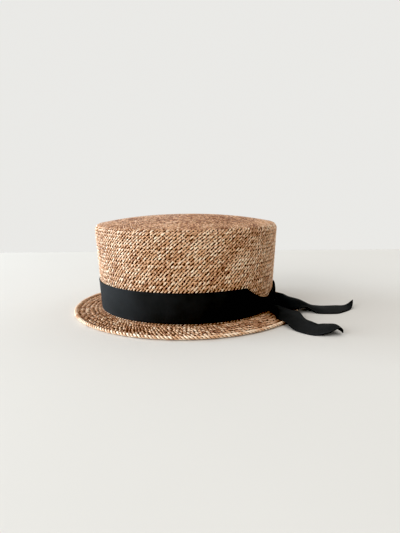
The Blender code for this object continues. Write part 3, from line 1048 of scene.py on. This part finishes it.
FRONT_TAIL = (
    TailRow(along=-0.14, aside=0.02, spread=0.52, turn=-22, near=0.05, ridge=0.30, far=0.24),
    TailRow(along=0.00, aside=-0.06, spread=0.74, turn=-29, near=0.01, ridge=0.25, far=0.16),
    TailRow(along=0.10, aside=-0.27, spread=0.97, turn=-42, near=0.01, ridge=0.17, far=0.09),
    TailRow(along=0.20, aside=-0.48, spread=1.00, turn=-50, near=0.01, ridge=0.11, far=0.09),
    TailRow(along=0.27, aside=-0.79, spread=0.93, turn=-52, near=0.01, ridge=0.08, far=0.04),
    TailRow(along=0.35, aside=-1.11, spread=0.92, turn=-50, near=0.01, ridge=0.05, far=0.07),
    TailRow(along=0.46, aside=-1.33, spread=0.97, turn=-38, near=0.00, ridge=0.03, far=0.05),
    TailRow(along=0.58, aside=-1.47, spread=0.98, turn=-22, near=0.00, ridge=0.03, far=0.04),
    TailRow(along=0.75, aside=-1.49, spread=0.96, turn=-8, near=0.08, ridge=0.10, far=0.05),
    TailRow(along=0.88, aside=-1.48, spread=0.84, turn=4, near=0.19, ridge=0.18, far=0.06),
    TailRow(along=0.96, aside=-1.58, spread=0.58, turn=12, near=0.16, ridge=0.19, far=0.11),
    TailRow(along=1.00, aside=-1.72, spread=0.22, turn=18, near=0.02, ridge=0.06, far=0.06),
)


def blended(rows: Sequence[TailRow], count: int) -> Array:
    """Pass a smooth curve through the rows of a table and return even rows of numbers."""
    table = np.array(rows, float)
    index = np.linspace(0, len(table) - 1, count)
    low = np.minimum(index.astype(int), len(table) - 2)
    t = (index - low)[:, None]
    before, first = table[np.maximum(low - 1, 0)], table[low]
    second, beyond = table[low + 1], table[np.minimum(low + 2, len(table) - 1)]
    return (
        before * (-t + 2 * t ** 2 - t ** 3) / 2
        + first * (2 - 5 * t ** 2 + 3 * t ** 3) / 2
        + second * (t + 4 * t ** 2 - 3 * t ** 3) / 2
        + beyond * (-t ** 2 + t ** 3) / 2
    )


def thickened(piece: bpy.types.Object, thickness: float) -> bpy.types.Object:
    """Give an open ribbon surface its thickness, below its face, and return the piece."""
    wall = piece.modifiers.new("ribbon", "SOLIDIFY")
    wall.thickness = thickness
    wall.offset = -1.0
    wall.use_even_offset = False
    return applied(piece)


@dataclass
class RibbonBand:
    """The ribbon round the crown, ribbed across, with folds that run into the knot."""

    ribbon: RibbonForm
    material: bpy.types.Material
    rows: int = 13
    columns_a_rib: int = 3
    fold_count: float = 2.5
    fold_depth: float = 0.0013
    top_hold: float = 0.62

    def build(self) -> bpy.types.Object:
        """Make the band and return it."""
        ribbon, hat = self.ribbon, self.ribbon.hat
        middle = hat.side_radius(ribbon.low + ribbon.width / 2) + ribbon.offset
        girth = math.tau * (float(middle) - hat.oval_shift / 2)
        ribs = round(girth / ribbon.rib_pitch)
        angle = np.arange(ribs * self.columns_a_rib) * math.tau / (ribs * self.columns_a_rib)
        across = np.concatenate([[0, 0.012, 0.035], np.linspace(0.06, 0.94, self.rows - 6), [0.965, 0.988, 1]])
        angle, across = np.meshgrid(angle, across, indexing="ij")
        along = angle / math.tau * ribs * ribbon.rib_pitch
        pinch = ribbon.pinch(angle)
        height = ribbon.low + (ribbon.width - ribbon.pinch_drop * pinch) * across
        fold = 0.5 + 0.5 * np.sin(math.tau * self.fold_count * across + 0.8)
        depth = self.fold_depth * pinch ** 1.3 * fold * np.sin(math.pi * across)
        layer = ribbon.offset + ribbon.thickness + ribbon.stand_off(angle) * (1 - self.top_hold * across)
        layer = layer + depth + ribbon.relief(along, across)
        x, y = hat.oval(hat.side_radius(height) + layer, angle)
        points = np.stack([x, y, height], axis=-1)
        mesh = grid_mesh("band_ribbon", points, closed_along=True)
        made = add_object("band_ribbon", mesh, self.material)
        self.piece = thickened(made, ribbon.thickness)
        self.girth = girth
        return self.piece

    def dress(self) -> None:
        """Tell the frame what the band rides on and stands for."""
        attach(self.piece, ROOT)
        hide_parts("ribbon_band")


@dataclass
class RibbonTail:
    """One end of the ribbon, gathered at the knot and laid over the brim to the floor."""

    ribbon: RibbonForm
    material: bpy.types.Material
    name: str
    node: str
    table: tuple[TailRow, ...]
    reach: float
    aside: float
    flat_length: float
    across: int = 23
    gathers: float = 2.5
    gather_depth: float = 0.10
    round_end: float = 0.0

    def build(self) -> bpy.types.Object:
        """Make the tail and return it."""
        ribbon = self.ribbon
        foot, outwards, sideways, _ = ribbon.knot_frame()
        start = foot + outwards * (ribbon.knot_depth + ribbon.seat_gap + ribbon.body) + sideways * self.aside
        count = 3 * round(self.flat_length / ribbon.rib_pitch) + 1
        rows = blended(self.table, count)
        along, aside, spread, turn, near, ridge, far = (rows[:, [column]] for column in range(7))
        across = np.linspace(0, 1, self.across)[None, :]
        turn = np.radians(turn)
        offset = (across - 0.5) * spread * ribbon.width
        bulge = self.round_end * np.sin(math.pi * across) * smoothstep(along * 5 - 3.7)
        x = start.x + along * self.reach + bulge - offset * np.sin(turn)
        y = start.y + aside * ribbon.width + offset * np.cos(turn)
        edge = near * (1 - across) + far * across
        arch = (ridge - (near + far) / 2) * np.sin(math.pi * across)
        lift = np.maximum(0.0, edge + arch) * ribbon.width
        gather = self.gather_depth * np.maximum(0.0, 0.98 - spread) * ribbon.width * smoothstep(1 - along * 1.6)
        fold = 0.5 + 0.5 * np.cos(math.tau * self.gathers * across + 3.0 * along)
        distance = np.arange(count)[:, None] * ribbon.rib_pitch / 3
        lift = lift + gather * fold + ribbon.relief(distance, across)
        z = ribbon.support(x, y) + lift + ribbon.thickness
        mesh = grid_mesh(self.name, np.stack([x, y, z], axis=-1))
        self.piece = thickened(add_object(self.name, mesh, self.material), ribbon.thickness)
        return self.piece

    def dress(self) -> None:
        """Tell the frame what the tail rides on and stands for."""
        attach(self.piece, ROOT)
        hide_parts(self.node)


@dataclass
class RibbonKnot:
    """The knot: ribbon wound over itself, ribbed, with creases that run over it."""

    ribbon: RibbonForm
    material: bpy.types.Material
    rings: int = 90
    sides: int = 136
    creases: float = 3.5
    crease_depth: float = 0.14
    ribs: int = 34
    rib_depth: float = 0.035
    squareness: float = 0.75

    def build(self) -> bpy.types.Object:
        """Make the knot and return it."""
        ribbon = self.ribbon
        foot, outwards, sideways, upwards = (np.array(v) for v in ribbon.knot_frame())
        polar = np.linspace(0, math.pi, self.rings)[:, None]
        around = np.arange(self.sides)[None, :] * math.tau / self.sides

        def rounded(value: Array) -> Array:
            """Bend a sine or cosine towards a box."""
            return np.sign(value) * np.abs(value) ** self.squareness

        side = rounded(np.cos(polar)) * np.ones_like(around)
        out = rounded(np.sin(polar)) * rounded(np.cos(around))
        up = rounded(np.sin(polar)) * rounded(np.sin(around))
        crease = np.abs(np.sin(math.pi * self.creases * (side * 0.5 + 0.10 * up + 0.55)))
        swell = 1 + self.crease_depth * (crease ** 0.7 - 0.7) - 0.10 * (1 - np.abs(side)) * np.abs(up)
        swell = swell + self.rib_depth * (np.abs(np.cos(around * self.ribs / 2)) - 0.6)
        place = (
            foot
            + outwards * (0.5 + 0.5 * out * swell)[..., None] * ribbon.knot_depth
            + sideways * (0.5 * side)[..., None] * ribbon.knot_width
            + upwards * (0.46 + 0.57 * up * swell)[..., None] * ribbon.knot_height
        )
        mesh = grid_mesh("knot_ribbon", place, closed_across=True)
        shape = bmesh.new()
        shape.from_mesh(mesh)
        bmesh.ops.remove_doubles(shape, verts=shape.verts[:], dist=TINY)
        bmesh.ops.recalc_face_normals(shape, faces=shape.faces[:])
        shape.to_mesh(mesh)
        shape.free()
        mesh.shade_smooth()
        self.piece = add_object("knot_ribbon", mesh, self.material)
        return self.piece

    def dress(self) -> None:
        """Tell the frame what the knot rides on and stands for."""
        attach(self.piece, ROOT)
        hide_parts("ribbon_knot")


@dataclass
class Studio:
    """The tabletop, window light and camera of the photograph."""

    focal_pixels: float = 400.0
    frame_height: float = 533.0
    distance: float = 0.469
    height: float = 0.1335
    aside: float = 0.0154
    pitch: float = 0.182
    roll: float = -0.009
    sensor: float = 36.0
    table_back: float = 0.457
    table_reach: float = 3.0
    bright_side: tuple[float, float, float] = (-0.52, 0.80, -0.30)
    dim_room: float = 0.60
    bright_room: float = 0.705

    def build_camera(self) -> None:
        """Place the camera at the photograph's angle."""
        data = bpy.data.cameras.new("camera")
        data.sensor_width = self.sensor
        data.lens = self.sensor * self.focal_pixels / self.frame_height
        camera = bpy.data.objects.new("camera", data)
        bpy.context.scene.collection.objects.link(camera)
        place = Matrix.Translation((self.aside, -self.distance, self.height))
        turn = Matrix.Rotation(math.pi / 2 - self.pitch, 4, "X") @ Matrix.Rotation(self.roll, 4, "Z")
        camera.matrix_world = place @ turn
        bpy.context.scene.camera = camera

    def build_table(self) -> None:
        """Lay the pale tabletop, whose far edge meets the wall's colour."""
        reach = self.table_reach
        corners = np.array([
            [[-reach, -reach, 0.0], [-reach, self.table_back, 0.0]],
            [[reach, -reach, 0.0], [reach, self.table_back, 0.0]],
        ])
        mesh = grid_mesh("tabletop", corners)
        add_object("tabletop", mesh, StageFinish().material())

    def area_light(self, name: str, place: Sequence[float], target: Sequence[float], size: Sequence[float],
                   power: float, colour: Sequence[float]) -> None:
        """Add a soft rectangular light.

        Args:
            name: The light's name.
            place: Where it stands.
            target: What it faces.
            size: Its width and height.
            power: Its power in watts.
            colour: Its colour.
        """
        data = bpy.data.lights.new(name, "AREA")
        data.shape = "RECTANGLE"
        data.size, data.size_y = size
        data.energy = power
        data.color = colour
        light = bpy.data.objects.new(name, data)
        bpy.context.scene.collection.objects.link(light)
        light.visible_camera = False
        light.location = place
        light.rotation_euler = (Vector(target) - Vector(place)).to_track_quat("-Z", "Y").to_euler()

    def build_light(self) -> None:
        """Light the hat from a window at the left, with a bright room around it and a faint fill."""
        world = bpy.data.worlds.new("room")
        world.use_nodes = True
        graph = Graph(world.node_tree)
        towards = graph.node("ShaderNodeTexCoord").outputs["Generated"]
        side = graph.node("ShaderNodeVectorMath", {0: towards, 1: self.bright_side}, operation="DOT_PRODUCT")
        light = graph.node("ShaderNodeMapRange", {
            "Value": side.outputs["Value"], "From Min": -0.45, "From Max": 0.40,
            "To Min": self.dim_room, "To Max": self.bright_room,
        }, interpolation_type="SMOOTHSTEP")
        background = graph.node("ShaderNodeBackground", {"Color": (1.0, 0.995, 0.97, 1),
                                                         "Strength": light.outputs["Result"]})
        out = graph.node("ShaderNodeOutputWorld")
        world.node_tree.links.new(background.outputs[0], out.inputs["Surface"])
        bpy.context.scene.world = world
        self.area_light("window", (-2.8, -1.9, 1.25), (0.0, 0.0, 0.05), (3.2, 2.2), 78.0, (0.93, 0.97, 1.0))
        self.area_light("side_window", (-2.7, 0.5, 0.5), (0.0, 0.0, 0.05), (1.4, 0.9), 78.0, (0.78, 0.90, 1.0))
        self.area_light("room_fill", (1.0, 0.6, 0.9), (0.35, 0.15, 0.0), (0.9, 0.9), 1.7, (1.0, 1.0, 1.0))
        bpy.context.scene.view_settings.view_transform = "Standard"
        bpy.context.scene.view_settings.look = "Medium High Contrast"
        bpy.context.scene.view_settings.use_curve_mapping = True
        bpy.context.scene.view_settings.curve_mapping.black_level = (0.027, 0.027, 0.027)

    def build(self) -> None:
        """Make the whole studio."""
        self.build_camera()
        self.build_table()
        self.build_light()


def report(pieces: Iterable[bpy.types.Object]) -> int:
    """Log each piece's triangles and return their sum."""
    total = 0
    for piece in pieces:
        triangles = sum(len(face.vertices) - 2 for face in piece.data.polygons)
        LOG.info("%s: %d triangles", piece.name, triangles)
        total += triangles
    return total


def main() -> None:
    """Build the looks of the hat around its frame."""
    logging.basicConfig(level=logging.INFO, format="%(name)s %(message)s")
    Studio().build()
    hat = HatForm()
    ribbon = RibbonForm(hat)
    weave = StrawWeave(hat, ribbon, StrawFinish().material(), CoreShadeFinish().material())
    total = report(weave.build())
    weave.dress()

    black = GrosgrainFinish().material()
    pieces = (
        RibbonBand(ribbon, black),
        RibbonKnot(ribbon, black),
        RibbonTail(ribbon, black, "rear_tail_ribbon", "ribbon_tail_rear", REAR_TAIL, 0.0850, 0.0055, 0.100,
                   round_end=0.0035),
        RibbonTail(ribbon, black, "front_tail_ribbon", "ribbon_tail_front", FRONT_TAIL, 0.0500, -0.0080, 0.086),
    )
    for piece in pieces:
        total += report([piece.build()])
        piece.dress()
    LOG.info("all pieces: %d triangles", total)


if __name__ == "__main__":
    main()
